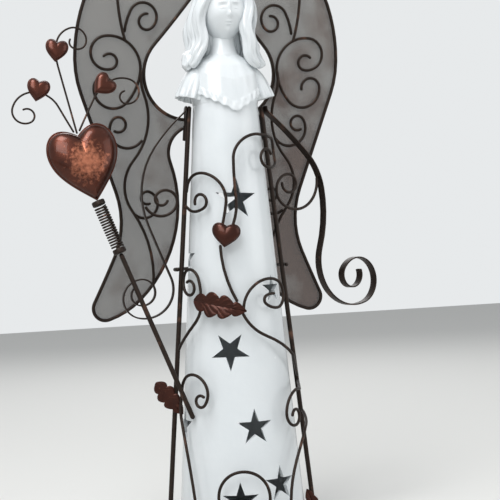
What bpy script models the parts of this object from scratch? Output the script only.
"""Angel candle holder: a glazed hollow figure in a wire frame with wings, arms, a wand and scrollwork.

Metres, +Z up, the figure faces -Y. The origin is the centre of the base plate's flat underside.
A wire's shape is a bender's list: pairs of millimetres of wire and the degrees that they turn.
"""
import math

import bmesh
import bpy
import numpy as np
from mathutils import Vector

MM = 0.001
GAP = 0.0003

# Stock
UPRIGHT_D = 0.0038
SCROLL_D = 0.0024
RIM_D = 0.0028
HOOK_D = 0.0028
BRACE_D = 0.0030
TENDRIL_D = 0.0016
STRAP_W = 0.007
STRAP_T = 0.0012
LEAF_T = 0.0012
MESH_T = 0.0008

# Base plate and candle cup
BASE_T = 0.003
BASE_RIM_H = 0.008
BASE_RIM_T = 0.002
BASE_RIM_CLEAR = 0.002
CUP_BORE_R = 0.0205
CUP_DEPTH = 0.014
CUP_WALL = 0.0012

# Hollow figure
GOWN_FOOT_R = 0.051
GOWN_TOP_R = 0.0258
GOWN_TOP_Z = 0.345
GOWN_WALL = 0.0035
STAR_INNER_SHARE = 0.38
STAR_CUT_FROM = 0.45
SLEEVE_X = 0.0275
SLEEVE_Z = 0.361
SLEEVE_HALF = (0.0125, 0.0150, 0.0190)
SLEEVE_RIM_Z = 0.348
SLEEVE_RECESS = 0.006
SLEEVE_BORE = (0.0095, 0.0115)
CHEST_Z = 0.350
CHEST_HALF = (0.0285, 0.0215, 0.030)
YOKE_NECK_Z = 0.386
YOKE_FRONT_Z = 0.3375
YOKE_RISE = 0.024
YOKE_LIP = 0.0012
NECK_R = 0.0098
NECK_LEN = 0.040
HEAD_Z = 0.4181
HEAD_HALF = (0.0190, 0.0220, 0.0245)

# Frame
FRAME_FOOT_GAP = 0.009
FRAME_TOP_GAP = 0.0022
UPRIGHT_TOP_Z = 0.344
BRACE_Z = 0.215
SOCKET_Z = 0.323
SOCKET_LEN = 0.012
SOCKET_WALL = 0.0010

# Wings
WING_ROOT_Z = 0.328
WING_BACK = 0.045
WING_TILT = 8.0
HOOK_RISE = 0.008
HOOK_ACROSS = 0.38
HOOK_NEAR = 0.88

# Arms and wand
RIGHT_ARM_SWEEP = 20.0
LEFT_ARM_SWEEP = 6.0
ROD_D = 0.0038
ROD_LEN = 0.1405
WAND_FOOT_Z = 0.099
WAND_FOOT_ANGLE = -66.0
WAND_FOOT_CLEAR = 0.001
WAND_HAND_Z = 0.212
WAND_HAND_X = -0.0835
SPRING_D = 0.0105
SPRING_WIRE = 0.0015
SPRING_LEN = 0.036
SPRING_TURNS = 16
SEAT_H = 0.004
HEART_W = 0.056
HEART_H = 0.060
HEART_DEPTH = 0.022
HEART_TURN = -7.0
SMALL_HEART_W = 0.018
SMALL_HEART_H = 0.018
SMALL_HEART_DEPTH = 0.008

# Tendrils, in millimetres across and up from the middle of the big heart's line; heart: where its
# own small heart hangs, in millimetres of wire; turn: how that heart leans, in degrees
TENDRILS = {
    "left": dict(
        start=(4.8, 26.6),
        head=98,
        bends=[(24, -1), (20, 53), (26, 85), (22, 130), (12, 120), (7, 70)],
        heart=44,
        turn=-34,
    ),
    "middle": dict(
        start=(6.7, 24.8),
        head=82,
        bends=[(57, 0), (19, -26), (17, -60), (22, -130), (13, -105), (8, -92)],
        heart=67,
        turn=-30,
    ),
    "right": dict(
        start=(9.1, 26.2),
        head=44,
        bends=[(30, -2), (20, -34), (15, -45), (15, -80), (15, -85), (9, -95), (7, -75)],
        heart=41,
        turn=-71,
    ),
}

# Front heart and leaves
CRIMP_T = 0.0012
FRONT_HEART_AT = (-16, 240)
FRONT_HEART_W = 0.021
FRONT_HEART_H = 0.0185
FRONT_HEART_DEPTH = 0.008
FRONT_HEART_TURN = -10.0
FRONT_LEAF_FROM = (-46, 191)
FRONT_LEAF_TO = (-4.5, 181.5)
FRONT_LEAF_W = 0.020
WAND_LEAF_LEN = 0.033
WAND_LEAF_W = 0.016
WAND_LEAF_FALL = -50.0
WAND_LEAF_Z = 0.114
WAND_LEAF_OUT = 0.0045
FOOT_LEAF_LEN = 0.022
FOOT_LEAF_W = 0.011
FOOT_LEAF_Z = 0.022
FOOT_LEAF_IN = 0.002
FOOT_LEAF_LEAN = 70.0

# Wires of the front scrollwork. start: millimetres round the front and up; lead and foot: height
# in millimetres where the wire meets an upright, before its start or after its end. A lifted wire
# leaves the cone from LIFT_FROM_Z on and passes in front of the right upright.
LIFT_FROM_Z = 0.262
LIFT_RUN = 0.035
FRONT_WIRES = {
    "front_neck_scroll": dict(start=(-51, 282), head=50, bends=[(55, -150), (21, -8)], lead=275),
    "front_side_curl": dict(start=(-50, 262), head=-30, bends=[(18, 60), (27, 265)], lead=265),
    "front_high_scroll": dict(
        start=(-12, 244),
        head=61,
        bends=[(27, 33), (29, -7), (31, -88), (20, -8), (26, -135), (18, -45), (30, -240)],
        lift=True,
    ),
    "front_heart_stem": dict(start=(-21, 233), head=-91, bends=[(46, 28)]),
    "front_leaf_scroll": dict(
        start=(-6.5, 183), head=86, bends=[(47, -112), (28, -150), (12, -40), (8, -120), (9, -35)]
    ),
    "front_leaf_curl": dict(start=(-41, 189), head=79, bends=[(19, 28), (43, 245), (23, 236)]),
    "front_left_brace": dict(start=(-41.5, 183), head=-108, bends=[(12, -30), (28, -4)], foot=152),
    "front_right_brace": dict(start=(-7.5, 180), head=-68, bends=[(26, 45), (36, -12)], foot=125),
    "front_right_curl": dict(
        start=(49, 117), head=162, bends=[(34, 105), (23, 145), (20, 216)], lead=121
    ),
    "front_right_leg": dict(start=(53, 86), head=-147, bends=[(61, 51), (45, 6)], lead=97),
    "front_arch": dict(start=(-36, 3), head=90, bends=[(38, 0), (64, -185), (45, 0)]),
}
ROD_SCROLL_ASIDE = 0.003
ROD_SCROLL = dict(
    head=80, bends=[(4, -6), (50, -205), (22, -283)], back=[(8, -4), (14, 30), (30, -4), (60, -10)]
)

# Wires of a wing, in millimetres outward and up from its root
WING_RIM = dict(
    start=(21, 10),
    head=3,
    bends=[
        (83, 128), (47, -3), (15, -50), (41, -75), (79, -73), (48, -20), (28, -19),
        (85, 0), (56, 43), (40, 2), (24, -133), (31, -27), (124, -66), (33, 86),
    ],
)
WING_BOW = dict(
    start=(58, 49),
    head=97,
    bends=[(47, -104), (44, -187), (24, -222)],
    back=[(27, 35), (40, 145), (27, 190)],
)
WING_STEM = dict(start=(58, 51), head=-75, bends=[(20, -36), (57, 61), (45, -75), (68, 40)])
WING_SPINE = dict(start=(72, 74), head=73, bends=[(32, 13), (40, 4)])
WING_CROWN = dict(start=(72, 81), head=97, bends=[(19, 20), (41, 207), (26, 232)])
WING_SIDE = dict(start=(58, -6), head=-57, bends=[(46, 178), (30, 280)])
WING_TAIL = dict(start=(65, -67), head=-133, bends=[(40, -203), (22, -238)])

# Arms: strap bends from the upright's top outward, and the wire curl that starts at an elbow
RIGHT_ARM = [(2, 0), (4, 50), (53, -9), (32, -37), (50, -29), (84, 128), (74, 217), (44, 240)]
LEFT_ARM = [(2, 0), (4, 44), (36, -14), (64, -56), (45, -1), (50, 125), (44, 164), (36, 200), (18, 130)]
ELBOW_AT = {"right": 81, "left": 91}
ELBOW_SLANT = 16
ELBOW_BENDS = {
    "right": [(56, -132), (34, -146), (36, -276)],
    "left": [(30, -127), (28, -177), (18, -205)],
}

# Stars: degrees round the gown from the front, height and radius in millimetres, and degrees turned
STARS = [
    (-8, 268, 16.5, 3), (38, 197, 11.5, 0), (-24, 151, 15.5, 180), (-1.5, 92, 14.5, 0),
    (22, 47, 14.5, 0), (-19, 37, 14.5, 0), (92, 243, 14.5, 0), (-98, 223, 14.5, 0), (90, 122, 14.5, 0),
    (-92, 92, 14.5, 0), (176, 268, 14.5, 0), (150, 176, 14.5, 0), (-152, 165, 14.5, 0), (172, 84, 14.5, 0),
]

PARTS = bpy.data.collections.new("angel_candle_holder")
CUTTERS = bpy.data.collections.new("cutters")
COLOURS = {
    "ceramic": ((0.70, 0.74, 0.76), 0.18, 0.0),
    "wire": ((0.022, 0.014, 0.011), 0.42, 0.9),
    "leaf": ((0.045, 0.011, 0.006), 0.25, 0.7),
    "heart": ((0.10, 0.028, 0.014), 0.25, 0.8),
    "mesh": ((0.19, 0.18, 0.165), 0.6, 0.5),
    "plate": ((0.022, 0.014, 0.011), 0.5, 0.8),
}


def clear_scene():
    for item in list(bpy.data.objects):
        bpy.data.objects.remove(item, do_unlink=True)
    bpy.context.scene.collection.children.link(PARTS)
    bpy.context.scene.collection.children.link(CUTTERS)


def material(name, kind):
    colour, roughness, metallic = COLOURS[kind]
    made = bpy.data.materials.new(name)
    made.use_nodes = True
    shader = made.node_tree.nodes["Principled BSDF"]
    shader.inputs["Base Color"].default_value = (*colour, 1)
    shader.inputs["Roughness"].default_value = roughness
    shader.inputs["Metallic"].default_value = metallic
    made.diffuse_color = (*colour, 1)
    return made


def add(name, data, kind=None):
    """Link an object as a part, or as a cutter when it has no finish."""
    item = bpy.data.objects.new(name, data)
    if kind:
        PARTS.objects.link(item)
        data.materials.append(material(name, kind))
    else:
        CUTTERS.objects.link(item)
        item.hide_render = True
        item.display_type = "WIRE"
    return item


def gown_radius(z):
    foot = BASE_T + GAP
    return GOWN_FOOT_R + (GOWN_TOP_R - GOWN_FOOT_R) * (z - foot) / (GOWN_TOP_Z - foot)


def frame_radius(z):
    """Centre line of the uprights, and the cone round the gown that carries the front wires."""
    share = np.clip(z / GOWN_TOP_Z, 0, 1.2)
    gap = FRAME_FOOT_GAP + (FRAME_TOP_GAP - FRAME_FOOT_GAP) * share
    return gown_radius(z) + gap + UPRIGHT_D / 2


def round_front(points, lift=0.0):
    """Carry (round, up) points onto the frame's cone; round is measured along the cone."""
    points = np.asarray(points, float)
    radius = frame_radius(points[:, 1])
    angle = points[:, 0] / radius
    radius = radius + lift
    return np.stack([radius * np.sin(angle), -radius * np.cos(angle), points[:, 1]], 1)


def beside_upright(z, near):
    """Where a front wire that runs from near stops beside an upright, measured round the cone."""
    side = np.sign(near[0])
    edge = np.array([side * (math.pi / 2 * frame_radius(z) - UPRIGHT_D / 2 - GAP), z])
    steep = abs(edge[1] - near[1]) / np.linalg.norm(edge - near)
    return edge - (side * SCROLL_D / 2 * steep, 0)


LONGEST_CHORD = 25.0


def walk(start, head, bends, turn_step=24.0):
    """Follow a bender's list from a start, in metres; a bend is an arc of its length and turn."""
    points = [np.array(start, float)]
    angle = math.radians(head)
    for length, turn in bends:
        count = max(1, math.ceil(abs(turn) / turn_step), math.ceil(length / LONGEST_CHORD))
        share = math.radians(turn) / count
        chord = length * MM / count
        if abs(share) > 1e-6:
            chord *= math.sin(share / 2) / (share / 2)
        for _ in range(count):
            heading = angle + share / 2
            points.append(points[-1] + chord * np.array([math.cos(heading), math.sin(heading)]))
            angle += share
    return np.array(points)


def heading_after(head, bends, length):
    """Heading in degrees after a length of wire in millimetres."""
    for run, turn in bends:
        if length <= run:
            return head + turn * length / run
        length -= run
        head += turn
    return head


def point_after(points, length):
    steps = np.linalg.norm(np.diff(points, axis=0), axis=1)
    along = np.concatenate([[0], np.cumsum(steps)])
    return np.array([np.interp(length, along, points[:, k]) for k in range(points.shape[1])])


def resample(points, count):
    steps = np.linalg.norm(np.diff(points, axis=0), axis=1)
    along = np.concatenate([[0], np.cumsum(steps)])
    want = np.linspace(0, along[-1], count)
    return np.stack([np.interp(want, along, points[:, k]) for k in range(points.shape[1])], 1)


def tube(name, points, diameter, kind="wire", sides=6):
    curve = bpy.data.curves.new(name, "CURVE")
    curve.dimensions = "3D"
    curve.bevel_depth = diameter / 2
    curve.bevel_resolution = sides // 2 - 2
    curve.use_fill_caps = True
    spline = curve.splines.new("POLY")
    spline.points.add(len(points) - 1)
    for knot, place in zip(spline.points, points):
        knot.co = (*place, 1)
    return add(name, curve, kind)


def turned(name, profile, kind=None, steps=40):
    """Screw a profile of (radius, height), given down its outer side, round the Z axis."""
    mesh = bpy.data.meshes.new(name)
    verts = [(r, 0, z) for r, z in profile]
    closed = profile[0][0] > 1e-6 or profile[-1][0] > 1e-6
    edges = [(k, k + 1) for k in range(len(verts) - 1)]
    if closed:
        edges.append((len(verts) - 1, 0))
    mesh.from_pydata(verts, edges, [])
    item = add(name, mesh, kind)
    screw = item.modifiers.new("turn", "SCREW")
    screw.steps = steps
    screw.render_steps = steps
    screw.use_merge_vertices = True
    screw.merge_threshold = 0.00001
    return item


def boolean(item, other, operation, solver="EXACT"):
    """Join or cut with a closed shape; the figure's stars need the manifold solver."""
    cut = item.modifiers.new(operation.lower(), "BOOLEAN")
    cut.operation = operation
    cut.object = other
    cut.solver = solver


def closed_grid(name, front, back, kind=None, ring=False):
    """Close two grids of points, front and back, with walls along their free edges."""
    rows, cols = front.shape[:2]
    verts = np.concatenate([front.reshape(-1, 3), back.reshape(-1, 3)])
    faces = []
    last = cols if ring else cols - 1
    for j in range(rows - 1):
        for i in range(last):
            a, b = j * cols + i, j * cols + (i + 1) % cols
            c, d = b + cols, a + cols
            faces.append((a, b, c, d))
            faces.append((d + rows * cols, c + rows * cols, b + rows * cols, a + rows * cols))
    loop = [(rows - 1) * cols + i for i in range(cols)]
    if not ring:
        right = [j * cols + cols - 1 for j in range(rows - 2, -1, -1)]
        loop = loop + right + [i for i in range(cols - 2, -1, -1)] + [j * cols for j in range(1, rows - 1)]
    size = rows * cols
    for k, a in enumerate(loop):
        b = loop[(k + 1) % len(loop)]
        faces.append((a, b, b + size, a + size))
    mesh = bpy.data.meshes.new(name)
    mesh.from_pydata([tuple(v) for v in verts], [], faces)
    work = bmesh.new()
    work.from_mesh(mesh)
    bmesh.ops.remove_doubles(work, verts=work.verts, dist=1e-6)
    bmesh.ops.dissolve_degenerate(work, dist=1e-7, edges=work.edges)
    bmesh.ops.recalc_face_normals(work, faces=work.faces)
    work.to_mesh(mesh)
    work.free()
    return add(name, mesh, kind)


def heart_outline(angle):
    """Heart curve of unit width and height, centred, its tip down; angle 0 is the notch."""
    across = np.sin(angle) * np.abs(np.sin(angle)) / 2
    up = 14 * np.cos(angle) - 3.6 * np.cos(2 * angle) - 1.4 * np.cos(3 * angle) - 0.6 * np.cos(4 * angle)
    return across, up / 28.2 + 0.0957


def lean_flat(flat, degrees, about=(0.0, 0.0)):
    """Turn flat points counterclockwise about a point of their plane."""
    turn = math.radians(degrees)
    away = np.atleast_2d(flat) - about
    x = away[:, 0] * math.cos(turn) - away[:, 1] * math.sin(turn)
    y = away[:, 0] * math.sin(turn) + away[:, 1] * math.cos(turn)
    return np.stack([x, y], 1) + about


def puffed_heart(name, width, height, depth, place, kind="heart", around=20, rings=3):
    """Two pressed shells crimped at their rim: thickness falls from the middle to the crimp."""
    angle = np.linspace(0, 2 * math.pi, around, endpoint=False)
    across, up = heart_outline(angle)
    front = []
    back = []
    for share in np.sin(np.linspace(0, math.pi / 2, rings + 1)):
        thick = CRIMP_T / 2 + (depth - CRIMP_T) / 2 * math.sqrt(max(0.0, 1 - share**2))
        flat = np.stack([across * width * share, up * height * share], 1)
        front.append(place(flat, thick))
        back.append(place(flat, -thick))
    return closed_grid(name, np.array(front), np.array(back), kind, ring=True)


def leaf(name, length, width, place, teeth=5, fold=0.10, notch=0.82):
    """A toothed blade, folded a little along its midrib; notch is its width between two teeth."""
    rows = 2 * teeth + 1
    along = np.linspace(0, 1, rows)
    half = width / 2 * np.sin(math.pi * along**0.8) ** 0.7 * np.where(np.arange(rows) % 2, 1.0, notch)
    half = np.maximum(half, 0.0012)
    across = np.array([-1.0, 0.0, 1.0])
    x = np.repeat(along[:, None] * length, 3, 1)
    y = half[:, None] * across
    rise = fold * half[:, None] * np.abs(across)
    grid = np.stack([x, y], 2).reshape(-1, 2)
    rise = rise.reshape(-1)
    front = place(grid, rise + LEAF_T / 2).reshape(rows, 3, 3)
    back = place(grid, rise - LEAF_T / 2).reshape(rows, 3, 3)
    return closed_grid(name, front, back, "leaf")


def star_cutter(name, angle, z, size, spin):
    """A five-pointed prism that leans with the gown's wall and stays in front of the axis."""
    turn = np.arange(10) * math.pi / 5 + math.radians(spin)
    radius = size * np.where(np.arange(10) % 2, STAR_INNER_SHARE, 1.0)
    wall = gown_radius(z)
    flat = np.stack([radius * np.sin(turn), radius * np.cos(turn)], 1)
    rows = []
    for depth in (wall * STAR_CUT_FROM, wall + size):
        rows.append(np.stack([flat[:, 0], np.full(10, -depth), flat[:, 1] + z], 1))
    centre = [np.repeat(row.mean(0)[None], 10, 0) for row in rows]
    front = np.array([centre[1], rows[1]])
    back = np.array([centre[0], rows[0]])
    item = closed_grid(name, front, back, ring=True)
    item.rotation_euler = (0, 0, math.radians(angle))
    return item


def blob(name, centre, half, segments=14, rings=9):
    mesh = bpy.data.meshes.new(name)
    work = bmesh.new()
    bmesh.ops.create_uvsphere(work, u_segments=segments, v_segments=rings, radius=1)
    bmesh.ops.scale(work, vec=half, verts=work.verts)
    bmesh.ops.translate(work, vec=centre, verts=work.verts)
    work.to_mesh(mesh)
    work.free()
    return add(name, mesh)


def box(name, low, high):
    mesh = bpy.data.meshes.new(name)
    work = bmesh.new()
    bmesh.ops.create_cube(work, size=1)
    bmesh.ops.scale(work, vec=Vector(high) - Vector(low), verts=work.verts)
    bmesh.ops.translate(work, vec=(Vector(low) + Vector(high)) / 2, verts=work.verts)
    work.to_mesh(mesh)
    work.free()
    return add(name, mesh)


def yoke():
    """A shallow yoke round the shoulders; its hem dips to a point at the front."""
    angle = np.linspace(-math.pi, math.pi, 32, endpoint=False)
    hem = YOKE_FRONT_Z + YOKE_RISE * np.minimum(np.abs(angle) / math.radians(100), 1.0) ** 0.9
    outer = GOWN_TOP_R + 2 * YOKE_LIP
    rows = []
    for share, wide, deep in ((0, 0.37, 1), (0.13, 0.59, 0.9), (0.26, 0.80, 0.86), (0.5, 0.94, 0.9), (1, 1, 1)):
        z = YOKE_NECK_Z + (hem - YOKE_NECK_Z) * share
        rows.append(np.stack([outer * wide * np.sin(angle), -outer * wide * deep * np.cos(angle), z], 1))
    top = np.array([np.repeat(np.array([[0, 0, YOKE_NECK_Z]]), 32, 0)] + rows)
    edge = rows[-1] - (0, 0, YOKE_LIP)
    middle = np.array([0, 0, CHEST_Z])
    low = np.array([middle + (edge - middle) * share for share in np.linspace(0, 1, len(top))])
    return closed_grid("yoke_form", top, low, ring=True)


def make_figure():
    foot = BASE_T + GAP
    cap = GOWN_TOP_Z + 0.012
    figure = turned(
        "figure",
        [(0, cap), (GOWN_TOP_R * 0.8, cap), (GOWN_TOP_R, GOWN_TOP_Z), (GOWN_FOOT_R, foot), (0, foot)],
        "ceramic",
        steps=40,
    )
    inner_top = GOWN_TOP_R - GOWN_WALL
    inner_foot = GOWN_FOOT_R - GOWN_WALL
    below = 0.01
    slope = (inner_foot - inner_top) / (GOWN_TOP_Z - foot)
    hollow = turned(
        "gown_hollow",
        [(0, GOWN_TOP_Z), (inner_top, GOWN_TOP_Z), (inner_foot + slope * below, foot - below), (0, foot - below)],
        steps=40,
    )
    for shape in bust_shapes():
        boolean(figure, shape, "UNION", "MANIFOLD")
    boolean(figure, hollow, "DIFFERENCE", "MANIFOLD")
    for side in (-1, 1):
        recess = blob(
            f"sleeve_recess_{side}",
            (side * (SLEEVE_X + 0.003), 0, SLEEVE_RIM_Z),
            (*SLEEVE_BORE, SLEEVE_RECESS),
            12,
            7,
        )
        boolean(figure, recess, "DIFFERENCE", "MANIFOLD")
    for number, (angle, height, size, spin) in enumerate(STARS):
        cutter = star_cutter(f"star_{number}", angle, height * MM, size * MM, spin)
        boolean(figure, cutter, "DIFFERENCE", "MANIFOLD")


def bust_shapes():
    shapes = [blob("chest", (0, 0, CHEST_Z), CHEST_HALF, 16, 9), yoke()]
    for side in (-1, 1):
        sleeve = blob(f"sleeve_{side}", (side * SLEEVE_X, 0, SLEEVE_Z), SLEEVE_HALF)
        edge = box(
            f"sleeve_edge_{side}",
            (side * SLEEVE_X - 0.03, -0.03, SLEEVE_RIM_Z - 0.03),
            (side * SLEEVE_X + 0.03, 0.03, SLEEVE_RIM_Z),
        )
        boolean(sleeve, edge, "DIFFERENCE")
        shapes.append(sleeve)
    jaw = HEAD_Z - HEAD_HALF[2] / 2
    foot = jaw - NECK_LEN
    shapes.append(turned("neck", [(0, jaw), (NECK_R, jaw), (NECK_R * 1.1, foot), (0, foot)], steps=16))
    shapes.append(blob("head", (0, -0.002, HEAD_Z), HEAD_HALF, 16, 10))
    shapes.append(blob("hair_crown", (0, 0.004, HEAD_Z + 0.003), (0.0230, 0.0225, 0.0235), 16, 10))
    shapes.append(blob("hair_back", (0, 0.0105, HEAD_Z - 0.0205), (0.0225, 0.0150, 0.030), 14, 8))
    for side in (-1, 1):
        beside = (side * 0.0195, 0.001, HEAD_Z - 0.0155)
        lock = (side * 0.0225, -0.004, HEAD_Z - 0.0345)
        shapes.append(blob(f"hair_side_{side}", beside, (0.0085, 0.0125, 0.020), 12, 8))
        shapes.append(blob(f"hair_lock_{side}", lock, (0.0085, 0.0105, 0.0125), 12, 8))
    shapes.append(blob("nose", (0, -0.0235, HEAD_Z - 0.003), (0.0022, 0.0035, 0.0045), 8, 5))
    return shapes


def make_base():
    inner = frame_radius(BASE_T) + SCROLL_D / 2 + BASE_RIM_CLEAR
    outer = inner + BASE_RIM_T
    turned(
        "base_plate",
        [(0, BASE_T), (inner, BASE_T), (inner, BASE_RIM_H), (outer, BASE_RIM_H), (outer, 0), (0, 0)],
        "plate",
    )
    foot = BASE_T + GAP
    top = foot + CUP_WALL + CUP_DEPTH
    wide = CUP_BORE_R + CUP_WALL
    turned(
        "candle_cup",
        [(0, foot + CUP_WALL), (CUP_BORE_R, foot + CUP_WALL), (CUP_BORE_R, top), (wide, top), (wide, foot), (0, foot)],
        "plate",
        steps=28,
    )


def upright_line(side):
    """Foot and top of an upright's centre line."""
    foot = BASE_T + GAP
    return np.array([
        (side * frame_radius(foot), 0, foot),
        (side * frame_radius(UPRIGHT_TOP_Z), 0, UPRIGHT_TOP_Z),
    ])


def make_frame():
    for side, word in ((-1, "left"), (1, "right")):
        tube(f"upright_{word}", upright_line(side), UPRIGHT_D, sides=10)
    radius = frame_radius(BRACE_Z) + (UPRIGHT_D + BRACE_D) / 2 + GAP
    angle = np.radians(np.linspace(-4, 184, 22))
    ring = np.stack([radius * np.cos(angle), radius * np.sin(angle), np.full(22, BRACE_Z)], 1)
    tube("back_brace", ring, BRACE_D)


def socket_axis(side):
    """Centre of a wing socket behind its upright, and the upright's direction."""
    foot, top = upright_line(side)
    run = (top - foot) / np.linalg.norm(top - foot)
    outer = socket_outer()
    centre = np.array([side * frame_radius(SOCKET_Z), UPRIGHT_D / 2 + GAP + outer, SOCKET_Z])
    return centre, run


def socket_outer():
    return HOOK_D / 2 + GAP + SOCKET_WALL


def make_socket(side, word):
    centre, run = socket_axis(side)
    bore = HOOK_D / 2 + GAP
    outer = socket_outer()
    half = SOCKET_LEN / 2
    item = turned(
        f"wing_socket_{word}",
        [(bore, half), (outer, half), (outer, -half), (bore, -half)],
        "wire",
        steps=12,
    )
    item.location = centre
    item.rotation_mode = "QUATERNION"
    item.rotation_quaternion = Vector(run).to_track_quat("Z", "Y")


def on_wing(side, points, lift=0.0):
    """Carry (outward, up) points onto a wing's tilted plane; lift is toward the front."""
    points = np.asarray(points, float)
    tilt = math.radians(WING_TILT)
    y = WING_BACK - points[:, 1] * math.sin(tilt) - lift * math.cos(tilt)
    z = WING_ROOT_Z + points[:, 1] * math.cos(tilt) - lift * math.sin(tilt)
    return np.stack([side * points[:, 0], y, z], 1)


def millimetres(pair):
    return (pair[0] * MM, pair[1] * MM)


def wire_path(wire):
    """The path of a wire; with a back list, the same wire runs on behind its start."""
    path = walk(millimetres(wire["start"]), wire["head"], wire["bends"])
    if "back" in wire:
        before = walk(millimetres(wire["start"]), wire["head"] + 180, wire["back"])
        path = np.concatenate([before[:0:-1], path])
    return path


def make_wing(side, word):
    rim = wire_path(WING_RIM)
    tube(f"wing_rim_{word}", on_wing(side, rim), RIM_D)
    over = (RIM_D + SCROLL_D) / 2 + GAP
    inner = rim[: len(rim) // 4, 0].max() + (RIM_D + SCROLL_D) / 2 + GAP
    bow = dict(WING_BOW, start=(inner / MM, WING_BOW["start"][1]))
    for part, wire in {"bow": bow, "side_curl": WING_SIDE, "tail_curl": WING_TAIL}.items():
        tube(f"wing_{part}_{word}", on_wing(side, wire_path(wire)), SCROLL_D)
    above = wire_path(bow)[:, 1].max() + SCROLL_D + GAP
    crown = dict(WING_CROWN, start=(WING_CROWN["start"][0], above / MM))
    tube(f"wing_crown_curl_{word}", on_wing(side, wire_path(crown)), SCROLL_D)
    for part, wire in {"stem": WING_STEM, "spine": WING_SPINE}.items():
        tube(f"wing_{part}_{word}", on_wing(side, wire_path(wire), over), SCROLL_D)
    make_panel(side, word, rim)
    make_hook(side, word, rim)


def make_panel(side, word, rim):
    """The mesh panel behind the wires, cut to the rim's centre line."""
    curve = bpy.data.curves.new(f"wing_mesh_{word}", "CURVE")
    curve.dimensions = "2D"
    curve.fill_mode = "BOTH"
    curve.extrude = MESH_T / 2
    spline = curve.splines.new("POLY")
    spline.use_cyclic_u = True
    outline = resample(rim, 100)
    spline.points.add(len(outline) - 1)
    for knot, place in zip(spline.points, outline):
        knot.co = (side * place[0], place[1], 0, 1)
    item = add(f"wing_mesh_{word}", curve, "mesh")
    behind = (RIM_D + MESH_T) / 2 + GAP
    tilt = math.radians(WING_TILT)
    item.location = (0, WING_BACK + behind * math.cos(tilt), WING_ROOT_Z + behind * math.sin(tilt))
    item.rotation_euler = (math.pi / 2 + tilt, 0, 0)


def smooth(points, steps=3):
    """Catmull-Rom curve through a few points."""
    points = np.asarray(points, float)
    ends = np.concatenate([[2 * points[0] - points[1]], points, [2 * points[-1] - points[-2]]])
    made = []
    for k in range(len(points) - 1):
        a, b, c, d = ends[k : k + 4]
        for t in np.linspace(0, 1, steps, endpoint=False):
            made.append(
                0.5 * (2 * b + (c - a) * t + (2 * a - 5 * b + 4 * c - d) * t**2 + (3 * b - a - 3 * c + d) * t**3)
            )
    made.append(points[-1])
    return np.array(made)


def make_hook(side, word, rim):
    """The wire that joins a rim's two ends and drops into the socket on the upright."""
    centre, run = socket_axis(side)
    middle = (rim[0] + rim[-1]) / 2
    half = abs(rim[0][1] - rim[-1][1]) / 2 + RIM_D / 2
    front = (RIM_D + HOOK_D) / 2 + GAP
    root = on_wing(side, [middle - (0, half), middle + (0, half)], front)
    pin_foot = centre - run * SOCKET_LEN / 2
    pin_top = centre + run * (SOCKET_LEN / 2 + HOOK_RISE * 0.6)
    rise = np.array([0, 0, HOOK_RISE])
    across = pin_top + (root[1] - pin_top) * HOOK_ACROSS + rise
    near = pin_top + (root[1] - pin_top) * HOOK_NEAR + rise * 0.8
    path = smooth([pin_foot, centre + run * SOCKET_LEN / 2, pin_top, across, near, root[1], root[0]])
    tube(f"wing_hook_{word}", path, HOOK_D)


def arm_start(sweep):
    """Where a strap lies against the outer side of an upright's top, for its sweep."""
    z = UPRIGHT_TOP_Z
    clear = (UPRIGHT_D + STRAP_T) / 2 + GAP
    return frame_radius(z) + clear / math.cos(math.radians(sweep)), z


def lean():
    """Degrees that an upright leans outward, so that a strap can start along it."""
    foot, top = upright_line(1)
    return math.degrees(math.atan2(foot[0] - top[0], top[2] - foot[2]))


def in_arm_plane(points, side, sweep, depth=0.0):
    points = np.asarray(points, float)
    swing = math.radians(sweep)
    origin, _ = arm_start(sweep)
    x = origin + points[:, 0] * math.cos(swing) - depth * math.sin(swing)
    y = points[:, 0] * math.sin(swing) + depth * math.cos(swing)
    return np.stack([side * x, y, points[:, 1]], 1)


def make_arm(side, word, bends, sweep):
    _, top = arm_start(sweep)
    head = -90 + lean()
    path = walk((0, top), head, bends, turn_step=20)
    tangent = np.gradient(path, axis=0)
    tangent /= np.linalg.norm(tangent, axis=1)[:, None]
    normal = np.stack([-tangent[:, 1], tangent[:, 0]], 1)
    sheets = []
    for depth in (-STRAP_W / 2, STRAP_W / 2):
        left = in_arm_plane(path + normal * STRAP_T / 2, side, sweep, depth)
        right = in_arm_plane(path - normal * STRAP_T / 2, side, sweep, depth)
        sheets.append(np.stack([left, right], 1))
    closed_grid(f"arm_{word}", sheets[0], sheets[1], "wire")
    at = ELBOW_AT[word]
    place = point_after(path, at * MM)
    turn = heading_after(head, bends, at)
    off = math.radians(turn - 90)
    clear = (STRAP_T + SCROLL_D) / 2 + GAP
    start = place + clear * np.array([math.cos(off), math.sin(off)])
    curl = walk(start, turn - ELBOW_SLANT, ELBOW_BENDS[word])
    tube(f"elbow_curl_{word}", in_arm_plane(curl, side, sweep), SCROLL_D)


def upright_at(z, side):
    """A point on an upright's centre line, and the upright's direction."""
    foot, top = upright_line(side)
    run = (top - foot) / np.linalg.norm(top - foot)
    return foot + run * (z - foot[2]) / run[2], run


def wand_line():
    """Foot and direction of the wand's rod, from just clear of the gown to just before the hand."""
    angle = math.radians(WAND_FOOT_ANGLE)
    radius = gown_radius(WAND_FOOT_Z) + ROD_D / 2 + WAND_FOOT_CLEAR
    foot = np.array([radius * math.sin(angle), -radius * math.cos(angle), WAND_FOOT_Z])
    origin, _ = arm_start(LEFT_ARM_SWEEP)
    sweep = math.radians(LEFT_ARM_SWEEP)
    plane_y = (-WAND_HAND_X - origin) * math.tan(sweep)
    y = plane_y - (STRAP_W / 2 + GAP + ROD_D / 2) / math.cos(sweep)
    hand = np.array([WAND_HAND_X, y, WAND_HAND_Z])
    return foot, (hand - foot) / np.linalg.norm(hand - foot)


def along_wand(distance):
    foot, run = wand_line()
    return foot + run * distance


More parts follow.
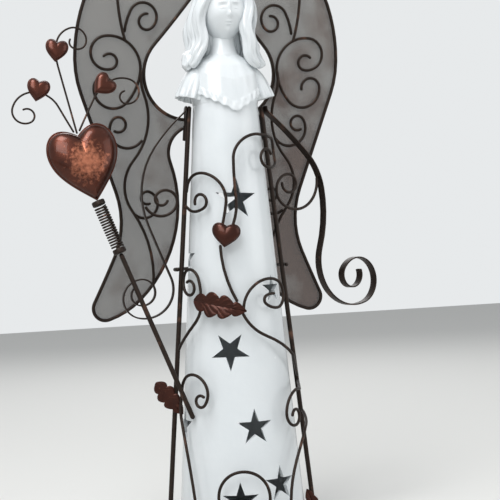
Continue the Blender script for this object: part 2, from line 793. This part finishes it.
def wand_frame():
    """Axes of the wand's head: across to the right, up along the wand, and out to the front."""
    _, run = wand_line()
    out = np.array([0, -1, 0]) - run * np.dot(run, (0, -1, 0))
    out /= np.linalg.norm(out)
    return np.cross(run, out), run, out


def seat(name, base):
    """A turned disc at an end of the spring."""
    outer = SPRING_D / 2
    item = turned(name, [(0, SEAT_H), (outer, SEAT_H), (outer, 0), (0, 0)], "wire", steps=14)
    item.location = base
    item.rotation_mode = "QUATERNION"
    item.rotation_quaternion = Vector(wand_line()[1]).to_track_quat("Z", "Y")


def make_wand():
    foot, run = wand_line()
    tube("wand_rod", [foot, along_wand(ROD_LEN)], ROD_D, sides=10)
    base = ROD_LEN + GAP
    seat("spring_seat", along_wand(base))
    low = base + SEAT_H + GAP + SPRING_WIRE / 2
    across, _, out = wand_frame()
    turn = np.linspace(0, SPRING_TURNS * 2 * math.pi, SPRING_TURNS * 8 + 1)
    radius = (SPRING_D - SPRING_WIRE) / 2
    rise = SPRING_LEN - SPRING_WIRE
    coil = (
        along_wand(low)
        + radius * (np.cos(turn)[:, None] * across + np.sin(turn)[:, None] * out)
        + (turn / turn[-1])[:, None] * rise * run
    )
    tube("wand_spring", coil, SPRING_WIRE, sides=4)
    cap = low + rise + SPRING_WIRE / 2 + GAP
    seat("spring_cap", along_wand(cap))
    make_wand_head(cap + SEAT_H + GAP)


def make_wand_head(base):
    """The big heart stands on its tip; three tendrils rise from its notch, each with a small heart."""
    across, run, out = wand_frame()
    centre = along_wand(base) + run * HEART_H / 2

    def place(flat, thick):
        flat = np.atleast_2d(flat)
        return centre + flat[:, :1] * across + flat[:, 1:] * run + np.asarray(thick).reshape(-1, 1) * out

    def place_big(flat, thick):
        return place(lean_flat(flat, HEART_TURN, (0, -HEART_H / 2)), thick)

    puffed_heart("big_heart", HEART_W, HEART_H, HEART_DEPTH, place_big, around=28, rings=4)
    front = (TENDRIL_D + SMALL_HEART_DEPTH) / 2 + GAP
    for word, wire in TENDRILS.items():
        path = wire_path(wire)
        tube(f"tendril_{word}", place(path, np.zeros(len(path))), TENDRIL_D)
        spot = point_after(path, wire["heart"] * MM)

        def place_small(flat, thick, spot=spot, lean_by=wire["turn"]):
            return place(lean_flat(flat, lean_by) + spot, np.asarray(thick) + front)

        puffed_heart(
            f"small_heart_{word}", SMALL_HEART_W, SMALL_HEART_H, SMALL_HEART_DEPTH, place_small, around=16
        )


def behind_rod():
    """Where a front wire on the cone passes behind the wand's rod, a little to its left."""
    foot, run = wand_line()
    clear = math.sqrt(((ROD_D + SCROLL_D) / 2 + GAP) ** 2 - ROD_SCROLL_ASIDE**2)
    low, high = foot[2], WAND_HAND_Z
    for _ in range(30):
        z = (low + high) / 2
        spot = foot + run * (z - foot[2]) / run[2]
        if (math.hypot(spot[0], spot[1]) - frame_radius(z)) * run[2] < clear:
            low = z
        else:
            high = z
    return (math.atan2(spot[0], -spot[1]) * frame_radius(z) - ROD_SCROLL_ASIDE) / MM, z / MM


def make_front():
    for name, wire in FRONT_WIRES.items():
        path = wire_path(wire)
        if "lead" in wire:
            z = wire["lead"] * MM
            path = np.concatenate([[beside_upright(z, path[0])], path])
        if "foot" in wire:
            z = wire["foot"] * MM
            path = np.concatenate([path, [beside_upright(z, path[-1])]])
        path = stand(path)
        lift = np.zeros(len(path))
        if wire.get("lift"):
            over = (UPRIGHT_D + SCROLL_D) / 2 + GAP
            share = np.clip((path[:, 1] - LIFT_FROM_Z) / LIFT_RUN, 0, 1)
            lift = over * share**2 * (3 - 2 * share)
        tube(name, round_front(path, lift), SCROLL_D)
    path = wire_path(dict(ROD_SCROLL, start=behind_rod()))
    tube("front_rod_scroll", round_front(stand(path)), SCROLL_D)


def stand(path):
    """Shorten a wire that reaches the base plate, so that it ends standing on the plate."""
    floor = BASE_T + GAP + SCROLL_D * 0.1
    keep = path[:, 1] >= floor
    if keep.all():
        return path
    first = np.argmax(keep)
    last = len(keep) - 1 - np.argmax(keep[::-1])
    kept = list(path[first : last + 1])
    if first > 0:
        kept.insert(0, cross(path[first], path[first - 1], floor))
    if last < len(path) - 1:
        kept.append(cross(path[last], path[last + 1], floor))
    return np.array(kept)


def cross(above, below, floor):
    share = (above[1] - floor) / (above[1] - below[1])
    return above + (below - above) * share


def make_front_ornaments():
    clear = SCROLL_D / 2 + GAP

    def place_heart(flat, thick):
        flat = lean_flat(flat, FRONT_HEART_TURN) + np.array(millimetres(FRONT_HEART_AT))
        thick = np.maximum(np.asarray(thick), -CRIMP_T / 2)
        return round_front(flat, clear + CRIMP_T / 2 + thick)

    puffed_heart("front_heart", FRONT_HEART_W, FRONT_HEART_H, FRONT_HEART_DEPTH, place_heart, "leaf", 18)
    start = np.array(millimetres(FRONT_LEAF_FROM))
    run = np.array(millimetres(FRONT_LEAF_TO)) - start
    length = np.linalg.norm(run)
    run /= length
    up = np.array([-run[1], run[0]])

    def place_leaf(flat, thick):
        spots = start + flat[:, :1] * run + flat[:, 1:] * up
        return round_front(spots, clear + LEAF_T / 2 + np.asarray(thick))

    leaf("front_leaf", length, FRONT_LEAF_W, place_leaf, teeth=4, notch=0.62)
    make_wand_leaf()
    for side, word in ((-1, "left"), (1, "right")):
        make_foot_leaf(side, word)


def make_wand_leaf():
    """A leaf between the upright and the rod, parallel to both."""
    post, post_run = upright_at(WAND_LEAF_Z, -1)
    _, run = wand_line()
    out = np.cross(run, post_run)
    out /= np.linalg.norm(out)
    if out[1] > 0:
        out = -out
    fall = math.radians(WAND_LEAF_FALL)
    along = np.array([math.cos(fall), 0, math.sin(fall)])
    along -= out * np.dot(along, out)
    along /= np.linalg.norm(along)
    across = np.cross(out, along)
    side = np.cross(post_run, out)
    side *= -np.sign(side[0])
    centre = post + side * WAND_LEAF_OUT + out * ((UPRIGHT_D + LEAF_T) / 2 + GAP)

    def place(flat, thick):
        shifted = flat[:, :1] - WAND_LEAF_LEN / 2
        return centre + shifted * along + flat[:, 1:] * across + np.asarray(thick)[:, None] * out

    leaf("wand_leaf", WAND_LEAF_LEN, WAND_LEAF_W, place, teeth=4, fold=0.0, notch=0.66)


def make_foot_leaf(side, word):
    """A small leaf in front of an upright's foot."""
    front = UPRIGHT_D / 2 + GAP + LEAF_T / 2
    radius = frame_radius(FOOT_LEAF_Z)
    centre = np.array([side * (radius - FOOT_LEAF_IN), -front, FOOT_LEAF_Z])
    tilt = math.radians(FOOT_LEAF_LEAN)
    along = np.array([-side * math.cos(tilt), 0, math.sin(tilt)])
    across = np.array([side * math.sin(tilt), 0, math.cos(tilt)])

    def place(flat, thick):
        shifted = flat[:, :1] - FOOT_LEAF_LEN / 2
        out = np.array([0, -1, 0])
        return centre + shifted * along + flat[:, 1:] * across + np.asarray(thick)[:, None] * out

    leaf(f"foot_leaf_{word}", FOOT_LEAF_LEN, FOOT_LEAF_W, place, teeth=3)


def main():
    clear_scene()
    make_base()
    make_figure()
    make_frame()
    for side, word in ((-1, "left"), (1, "right")):
        make_socket(side, word)
        make_wing(side, word)
    make_arm(1, "right", RIGHT_ARM, RIGHT_ARM_SWEEP)
    make_arm(-1, "left", LEFT_ARM, LEFT_ARM_SWEEP)
    make_wand()
    make_front()
    make_front_ornaments()


main()
